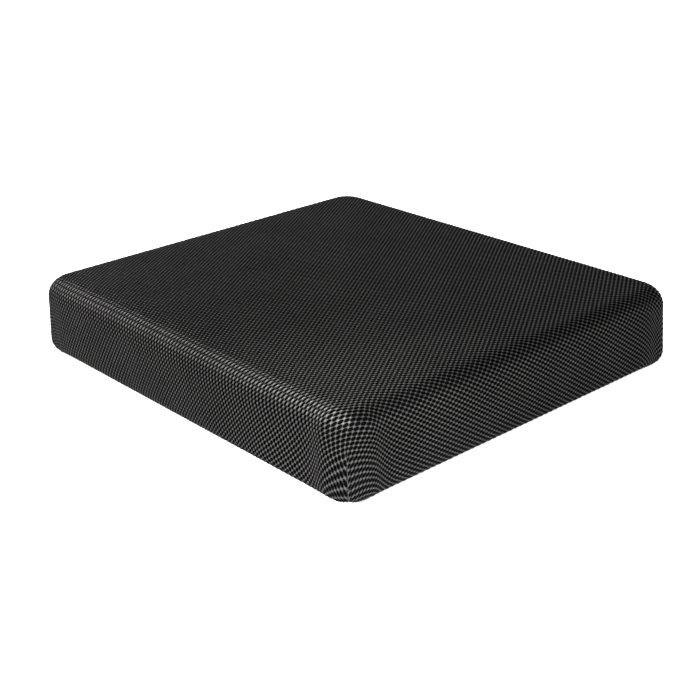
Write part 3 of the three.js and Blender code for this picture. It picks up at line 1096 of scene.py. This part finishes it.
def field_recipe():
    """Repeats a unit over a flat field of columns and rows."""
    recipe = Recipe(
        "field",
        {
            "Unit": bpy.types.Object,
            "Columns": int,
            "Rows": int,
            "Width": float,
            "Depth": float,
            "Height": float,
            "Finish": bpy.types.Material,
        },
    )
    g = recipe.graph
    field = g.node(
        "GeometryNodeMeshGrid",
        {
            "Size X": recipe.input("Width"),
            "Size Y": recipe.input("Depth"),
            "Vertices X": recipe.input("Columns"),
            "Vertices Y": recipe.input("Rows"),
        },
    )
    height = g.node("ShaderNodeCombineXYZ", {2: recipe.input("Height")})
    field = g.node("GeometryNodeTransform", {"Geometry": field, "Translation": height})
    recipe.give(recipe.realized(field, recipe.object("Unit"), weld=False))
    return recipe


def path_helper(name, points, lifts, closed=False):
    """A line of points for run_recipe. lifts is the way its units face, or one way for each point."""
    mesh = bpy.data.meshes.new(name)
    edges = [(i, i + 1) for i in range(len(points) - 1)]
    if closed:
        edges.append((len(points) - 1, 0))
    mesh.from_pydata([tuple(p) for p in points], edges, [])
    lift = mesh.attributes.new("lift", "FLOAT_VECTOR", "POINT")
    lifts = np.broadcast_to(np.array(lifts, np.float32), (len(points), 3))
    lift.data.foreach_set("vector", lifts.ravel())
    return helper(name, mesh)


# ---- Zip, label and underside ----


def sheet_mesh(name, points, flat):
    """A grid of points as a mesh, with a flat map in metres and a second map, OFBake, spread over the
    unit square.
    """
    rows, cols = points.shape[:2]
    quads = []
    for row in range(rows - 1):
        for col in range(cols - 1):
            a = row * cols + col
            quads.append((a, a + 1, a + cols + 1, a + cols))
    mesh = mesh_from(name, points.reshape(-1, 3), quads)
    corners = flat.reshape(-1, 2)[np.array(quads).ravel()]
    low, high = corners.min(0), corners.max(0)
    for title, values in (("cloth", corners), ("OFBake", (corners - low) / (high - low))):
        layer = mesh.uv_layers.new(name=title)
        layer.data.foreach_set("uv", values.astype(np.float32).ravel())
    mesh.shade_smooth()
    return mesh


def swept(name, profile, xs, follow=None):
    """A profile of (y, z) points swept along X. follow(x, z) adds to y."""
    profile = np.array(profile)
    steps = np.hypot(*np.diff(profile, axis=0).T)
    across = np.concatenate([[0.0], np.cumsum(steps)])
    points = np.zeros((len(xs), len(profile), 3))
    flat = np.zeros((len(xs), len(profile), 2))
    for i, x in enumerate(xs):
        for j, (y, z) in enumerate(profile):
            points[i, j] = (x, y + (follow(x, z) if follow else 0.0), z)
            flat[i, j] = (x, across[j])
    return sheet_mesh(name, points, flat)


def ring_profile(y0, y1, z0, z1, edge):
    """A closed rounded rectangle in the YZ plane, turning so that its faces look outwards."""
    corners = [(y1 - edge, z0), (y1, z0 + edge), (y1, z1 - edge), (y1 - edge, z1)]
    corners += [(y0 + edge, z1), (y0, z1 - edge), (y0, z0 + edge), (y0 + edge, z0)]
    return corners + corners[:1]


def cap_ends(mesh):
    """Closes the open ends of a swept ring and joins its long seam."""
    shape = bmesh.new()
    shape.from_mesh(mesh)
    bmesh.ops.remove_doubles(shape, verts=shape.verts, dist=1e-7)
    open_edges = [edge for edge in shape.edges if edge.is_boundary]
    bmesh.ops.holes_fill(shape, edges=open_edges, sides=0)
    bmesh.ops.recalc_face_normals(shape, faces=shape.faces)
    shape.to_mesh(mesh)
    shape.free()
    return mesh


def finer_copy(node, name, width):
    """A copy of a hard CAD solid with its edges rounded off."""
    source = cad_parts[node]
    mesh = source.data.copy()
    mesh.name = name
    mesh.transform(source.matrix_world)
    shape = bmesh.new()
    shape.from_mesh(mesh)
    bmesh.ops.remove_doubles(shape, verts=shape.verts, dist=1e-6)
    bmesh.ops.dissolve_limit(
        shape, angle_limit=math.radians(2), verts=shape.verts, edges=shape.edges
    )
    shape.to_mesh(mesh)
    shape.free()
    mesh.materials.clear()
    mesh.shade_smooth()
    piece = place(name, mesh)
    rounding = piece.modifiers.new("rounding", "BEVEL")
    rounding.width = width
    rounding.segments = 2
    rounding.limit_method = "ANGLE"
    rounding.angle_limit = math.radians(30)
    rounding.harden_normals = True
    return piece


def base_panel(inset, height):
    """The underside panel: flat, with its border rolled up into the seam and a sewn groove."""
    half = HALF - inset
    radius = CORNER_RADIUS - inset
    axes = []
    for reach in half:
        inner = reach - BASE_BORDER
        middle = np.linspace(-inner[-1], inner[-1], 2 * round(inner[-1] / (7 * MM)) + 1)
        axes.append(np.concatenate([-inner[:-1], middle, inner[:-1][::-1]]))
    xs, ys = np.meshgrid(*axes, indexing="ij")
    p = np.clip((np.abs(xs) - half[0] + radius) / radius, 0, 1)
    q = np.clip((np.abs(ys) - half[1] + radius) / radius, 0, 1)
    round_x = half[0] - radius + radius * p * np.sqrt(1 - q * q / 2)
    round_y = half[1] - radius + radius * q * np.sqrt(1 - p * p / 2)
    x = np.where(p > 0, round_x, np.abs(xs)) * np.sign(xs)
    y = np.where(q > 0, round_y, np.abs(ys)) * np.sign(ys)
    edge = np.minimum(half[0] - np.abs(xs), half[1] - np.abs(ys))
    wave = BASE_WAVE * np.sin(x * 95) * np.sin(y * 110) * np.clip(edge / (20 * MM), 0, 1)
    z = height + np.interp(edge, BASE_BORDER, BASE_LIFT) + wave
    points = np.stack([x, y, z], -1)[:, ::-1]
    flat = np.stack([x, y], -1)[:, ::-1]
    return sheet_mesh("base_panel", points, flat)


# ---- Camera, light and floor ----


def camera():
    """The view from the front right, a little above."""
    azimuth, elevation, roll = (math.radians(angle) for angle in VIEW_ANGLES)
    back = Vector(
        (
            math.sin(azimuth) * math.cos(elevation),
            -math.cos(azimuth) * math.cos(elevation),
            math.sin(elevation),
        )
    )
    right = Vector((math.cos(azimuth), math.sin(azimuth), 0))
    up = back.cross(right)
    across = right * math.cos(roll) - up * math.sin(roll)
    upward = right * math.sin(roll) + up * math.cos(roll)
    data = bpy.data.cameras.new("camera")
    data.lens = LENS
    data.sensor_width = 36
    data.shift_x, data.shift_y = LENS_SHIFT
    eye = bpy.data.objects.new("camera", data)
    bpy.context.scene.collection.objects.link(eye)
    stand = Matrix((across, upward, back)).transposed().to_4x4()
    stand.translation = MIDDLE + back * VIEW_DISTANCE
    eye.matrix_world = stand
    bpy.context.scene.camera = eye


def lamp(name, kind, location, target, **settings):
    data = bpy.data.lights.new(name, kind)
    for setting, value in settings.items():
        setattr(data, setting, value)
    made = bpy.data.objects.new(name, data)
    bpy.context.scene.collection.objects.link(made)
    made.location = location
    made.rotation_euler = (target - Vector(location)).to_track_quat("-Z", "Y").to_euler()


def studio():
    floor_material = finish("floor", grey(0.94), Roughness=0.9)[0]
    bpy.ops.mesh.primitive_plane_add(size=60, location=(0, 0, 0))
    floor = bpy.context.object
    floor.name = "floor"
    floor.data.materials.append(floor_material)
    world = bpy.data.worlds.new("studio")
    world.use_nodes = True
    world.node_tree.nodes["Background"].inputs["Color"].default_value = grey(1.0)
    world.node_tree.nodes["Background"].inputs["Strength"].default_value = 1.0
    bpy.context.scene.world = world
    bpy.context.scene.view_settings.view_transform = "Standard"
    for name, location, width, height, energy in SOFTBOXES:
        lamp(
            name,
            "AREA",
            location,
            MIDDLE,
            shape="RECTANGLE",
            size=width,
            size_y=height,
            energy=energy,
        )
    near_corner = Vector((HALF[0] - CORNER_AIM, CORNER_AIM - HALF[1], CORNER_AIM_HEIGHT))
    lamp("corner", "SPOT", (0.6, -0.7, 1.4), near_corner, **CORNER_BEAM)


# ---- Assembly ----


def ride(piece, body, slot, *nodes):
    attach(piece, body)
    if nodes:
        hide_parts(*nodes)


def sew(name, line, lifts, unit, count, material, slot, *nodes, turn=0.0, closed=False):
    """A row of one unit along a line of points, on the cushion. nodes are the CAD nodes replaced."""
    path = path_helper(name + "_path", line, lifts, closed)
    values = {"Path": path, "Unit": unit, "Count": count, "Turn": turn, "Finish": material}
    ride(run.grow(name, values), "cushion", slot, *nodes)


def metal_part(node, name, body, width):
    """A hard part of the zip with its edges rounded off."""
    piece = finer_copy(node, name, width)
    piece.data.materials.append(metal)
    ride(piece, body, "zip_metal", node)


def skin_y(x, z):
    """Where the rear face of the cover lies."""
    hit = skin.ray_cast(Vector((x, 0.3, z)), Vector((0, -1, 0)))[0]
    return hit.y


def knit_parts():
    """(name, panel, columns, middle) of each piece that the knit face is grown in."""
    parts = []
    for step, side in ((-1, "left"), (0, "middle"), (1, "right")):
        middle = (step * SEAT_COLUMNS + 0.5) * KNIT_ACROSS
        parts.append(("knit_seat_" + side, 0, SEAT_COLUMNS, middle))
    for panel, name in enumerate(PANELS[1:], 1):
        parts.append(("knit_" + name, panel, SIDE_COLUMNS, 0.0))
    return parts


def sheet_frame(panel, columns, middle):
    """Lowest corner and longest side of the square that the OFBake map of a piece covers."""
    places = cover.flat[cover.seat] if panel == 0 else cover.cloth_places(PANELS[panel])
    places = places.reshape(-1, 2)
    low, high = places.min(0) - 8 * MM, places.max(0) + 8 * MM
    if panel == 0:
        low[0] = middle - (columns + 2) / 2 * KNIT_ACROSS
        return low, float(2 * HALF[1])
    return low, float((high - low).max())


def make_knit():
    """The knit face, one piece for each side and three for the seat."""
    guide = helper("guide", knit_guide(cover, normals))
    finer = guide.modifiers.new("finer", "SUBSURF")
    finer.levels = finer.render_levels = 1
    finer.uv_smooth = "PRESERVE_CORNERS"
    finer.boundary_smooth = "PRESERVE_CORNERS"
    cell = helper("cell", knit_cell())
    yarn = knit_yarn()
    knit = knit_recipe()
    for name, panel, columns, middle in knit_parts():
        low, size = sheet_frame(panel, columns, middle)
        piece = knit.grow(
            name,
            {
                "Guide": guide,
                "Cell": cell,
                "Panel": panel,
                "Across": KNIT_ACROSS,
                "Along": KNIT_ALONG,
                "Columns": columns,
                "Rows": KNIT_ROWS,
                "Middle": (middle, 0.0, 0.0),
                "Sheet Low": (low[0], low[1], 0.0),
                "Sheet Size": size,
                "Finish": yarn,
            },
        )
        ride(piece, "cushion", "mesh_fabric")


def make_body():
    """The closed body of the cover just under the knit face, with the zip's channel let in."""
    inner = cover.points - normals * BACKING_DEPTH
    rear = cover.points[:, 1] > HALF[1] - 3 * MM
    slot = rear & (np.abs(cover.points[:, 2] - ZIP_Z) < SLOT_HALF + 0.1 * MM)
    slot &= np.abs(cover.points[:, 0]) < SLOT_REACH + 0.1 * MM
    inner[slot, 1] = SLOT_FLOOR
    body = place("cover_body", mesh_from("cover_body", inner, cover.quads))
    body.data.shade_smooth()
    body.data.materials.append(backing_knit())
    rounder = body.modifiers.new("rounder", "SUBSURF")
    rounder.levels = rounder.render_levels = 1
    ride(body, "cushion", "mesh_fabric", "cover_top_and_sides")


def make_zip_half(side, name, tape, binding, nylon):
    """Tape, coil, hem, stitching and stop of one half. side is 1 above and -1 below."""
    xs = np.linspace(-TAPE_HALF, TAPE_HALF, TAPE_COLUMNS)
    low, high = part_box("zipper_tape_" + name)
    profile = ring_profile(low.y, high.y, low.z, high.z, 0.25 * MM)
    piece = place("zip_tape_" + name, cap_ends(swept("zip_tape_" + name, profile, xs)))
    piece.data.materials.append(tape)
    ride(piece, "cushion", "zip_tape", "zipper_tape_" + name)

    low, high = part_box("zipper_coil_" + name)
    pitch = (high.x - low.x) / COIL_TURNS
    wide = (high.z - low.z) / 2 - COIL_WIRE
    deep = (high.y - low.y) / 2 - COIL_WIRE
    turn = helper("turn_" + name, coil_turn(pitch, COIL_WIRE, wide, deep))
    shift = pitch / 4 * side
    ends = [low.x + pitch / 2 + pitch / 4 + shift, high.x - pitch / 2 - pitch / 4 + shift]
    line = [(x, (low.y + high.y) / 2, (low.z + high.z) / 2) for x in ends]
    count = round((ends[1] - ends[0]) / pitch) + 1
    node = "zipper_coil_" + name
    sew("zip_coil_" + name, line, REARWARD, turn, count, nylon, "zip_coil", node)

    profile = [(y * MM, ZIP_Z + side * z * MM) for y, z in HEM[::side]]
    piece = place("zip_hem_" + name, swept("zip_hem_" + name, profile, xs, skin_y))
    piece.data.materials.append(binding)
    ride(piece, "cushion", "mesh_fabric")

    z = ZIP_Z + side * HEM_STITCH_RISE
    xs = np.linspace(-HEM_STITCH_REACH, HEM_STITCH_REACH, 39)
    line = [(x, skin_y(x, z) + HEM_STITCH_LIFT, z) for x in xs]
    count = HEM_STITCH_COUNT
    node = "zipper_stitch_" + name
    sew("zip_stitching_" + name, line, REARWARD, stitch, count, thread, "thread", node)
    metal_part("zipper_top_stop_" + name, "zip_top_stop_" + name, "cushion", 0.25 * MM)


def make_zip():
    """Both halves of the zip, its stops and end tacks, the slider and the pull."""
    tape = woven("zip_tape", grey(0.006), grey(0.028), 260.0, 0.75, Specular_IOR_Level=0.25)
    binding = woven("hem_binding", grey(0.007), grey(0.032), 200.0, 0.7, Specular_IOR_Level=0.25)
    nylon = moulded("zip_nylon", grey(0.014), grey(0.03), 0.3, 4000.0)
    for side, name in ((1, "upper"), (-1, "lower")):
        make_zip_half(side, name, tape, binding, nylon)
    metal_part("zipper_bottom_stop", "zip_bottom_stop", "cushion", 0.3 * MM)

    tack = helper("tack", thread_stitch(TACK_LENGTH, THREAD_RADIUS))
    for side, name in ((-1, "left"), (1, "right")):
        x = side * TACK_X
        zs = ZIP_Z + np.linspace(-TACK_REACH, TACK_REACH, 15)
        line = [(x, skin_y(x, z) + TACK_LIFT, z) for z in zs]
        title = "zip_end_tack_" + name
        node = "zipper_end_tack_" + name
        turn = math.pi / 2
        sew(title, line, REARWARD, tack, TACK_COUNT, thread, "thread", node, turn=turn)
    metal_part("zipper_slider", "zip_slider_body", "slider", 0.3 * MM)
    metal_part("zipper_pull", "zip_pull_tab", "pull", 0.3 * MM)


def make_corner_threads():
    """Closing stitches deep in each corner seam."""
    unit = helper("corner_stitch", thread_stitch(CORNER_STITCH_LENGTH, THREAD_RADIUS))
    for name, (start, places, _, along, out, _) in cover.sides.items():
        column = start + len(places) - 1
        rows = [row for row in range(cover.ring_count) if cover.z[row] < SEAM_TOP + 2 * MM]
        index = [cover.ring_index(row, column) for row in rows[:-2]]
        line = cover.points[index] - normals[index] * CORNER_STITCH_DEPTH
        x, y = along + out
        ends = ("rear" if y > 0 else "front") + "_" + ("right" if x > 0 else "left")
        title = "corner_stitching_" + name
        node = "corner_seam_" + ends
        sew(title, line, normals[index], unit, CORNER_STITCH_COUNT, thread, "thread", node)


def make_base():
    """Underside panel, its grip dots and the stitching round it."""
    inset = HALF[0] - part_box("cover_bottom")[1].x
    cloth = woven("base_cloth", grey(0.016), grey(0.06), 300.0, 0.8, Specular_IOR_Level=0.2)
    panel = place("base_panel", base_panel(inset, BASE_HEIGHT))
    panel.data.materials.append(cloth)
    ride(panel, "cushion", "bottom_fabric", "cover_bottom")

    unit = helper("dots", grip_dots(DOT_RADIUS, BASE_HEIGHT, DOT_PITCH))
    spare = inset + DOT_MARGIN
    counts = [int(2 * (half - spare) / DOT_PITCH) for half in HALF]
    rubber = moulded("grip_rubber", grey(0.004), grey(0.012), 0.35, 2500.0, Specular_IOR_Level=0.4)
    dots = field_recipe().grow(
        "base_grip_dots",
        {
            "Unit": unit,
            "Columns": counts[0],
            "Rows": counts[1],
            "Width": (counts[0] - 1) * DOT_PITCH,
            "Depth": (counts[1] - 1) * DOT_PITCH,
            "Height": BASE_HEIGHT,
            "Finish": rubber,
        },
    )
    ride(dots, "cushion", "bottom_fabric")

    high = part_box("bottom_seam")[1]
    radius = CORNER_RADIUS - (HALF[0] - high.x)
    line = []
    for quarter, (sx, sy) in enumerate(((1, 1), (-1, 1), (-1, -1), (1, -1))):
        for step in range(7):
            angle = math.pi / 2 * (quarter + step / 6)
            x = sx * (high.x - radius) + radius * math.cos(angle)
            y = sy * (high.x - radius - HALF[0] + HALF[1]) + radius * math.sin(angle)
            line.append((x, y, BASE_STITCH_HEIGHT))
    count = BASE_STITCH_COUNT
    node = "bottom_seam"
    sew("base_stitching", line, DOWNWARD, stitch, count, thread, "thread", node, closed=True)


def make_label():
    """A folded ribbon label, sewn on by its top edge."""
    low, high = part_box("care_label")
    back = max(skin_y(x, z) for x in (low.x, high.x) for z in (low.z, high.z)) + LABEL_GAP
    fold_z = low.z + LABEL_GAP
    path = [(back, z) for z in np.linspace(high.z, fold_z, 9)]
    for step in range(1, 8):
        angle = math.pi * step / 8
        out = LABEL_FOLD / 2 * (1 - math.cos(angle))
        path.append((back + out, fold_z - LABEL_GAP * math.sin(angle)))
    path += [(back + LABEL_FOLD, z) for z in np.linspace(fold_z, high.z - 0.4 * MM, 9)]

    def wave(x, z):
        share = (high.z - z) / (high.z - low.z)
        return 0.5 * MM * share * math.sin((x - low.x) * 140) + 0.3 * MM * share

    mesh = swept("label_ribbon", path, np.linspace(low.x, high.x, 25), wave)
    piece = place("label_ribbon", mesh)
    satin = woven("label_satin", grey(0.3), (0.5, 0.49, 0.47, 1), 420.0, 0.4, Sheen_Weight=0.3)
    mesh.materials.append(satin)
    thick = piece.modifiers.new("thickness", "SOLIDIFY")
    thick.thickness = LABEL_THICKNESS
    ride(piece, "cushion", "label_cloth", "care_label")

    xs = np.linspace(low.x + 2 * MM, high.x - 2 * MM, 8)
    line = [(x, back + LABEL_FOLD + 0.12 * MM, high.z - 1.6 * MM) for x in xs]
    sew("label_stitching", line, REARWARD, stitch, LABEL_STITCH_COUNT, thread, "thread")


def finish_foam():
    for node, material in (
        ("foam_base", foam("firm_foam", (0.22, 0.23, 0.25, 1), (0.42, 0.43, 0.45, 1), 700.0)),
        ("foam_comfort_layer", foam("soft_foam", (0.55, 0.5, 0.36, 1), (0.82, 0.78, 0.64, 1), 900.0)),
    ):
        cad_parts[node].material_slots[0].material = material


camera()
studio()

cover = Cover()
cover.flat = cover.points[:, :2].copy()
shape_by_hand(cover)
inflate(cover)
draw_in_at_zip(cover)
normals = normals_of(cover)
skin = BVHTree.FromPolygons([tuple(p) for p in cover.points], cover.quads)

run = run_recipe()
thread = twisted_thread()
metal = painted_metal()
stitch = helper("stitch", thread_stitch(STITCH_LENGTH, THREAD_RADIUS))

make_knit()
make_body()
make_zip()
make_corner_threads()
make_base()
make_label()
finish_foam()

for piece in HELPERS:
    bpy.data.objects.remove(piece)
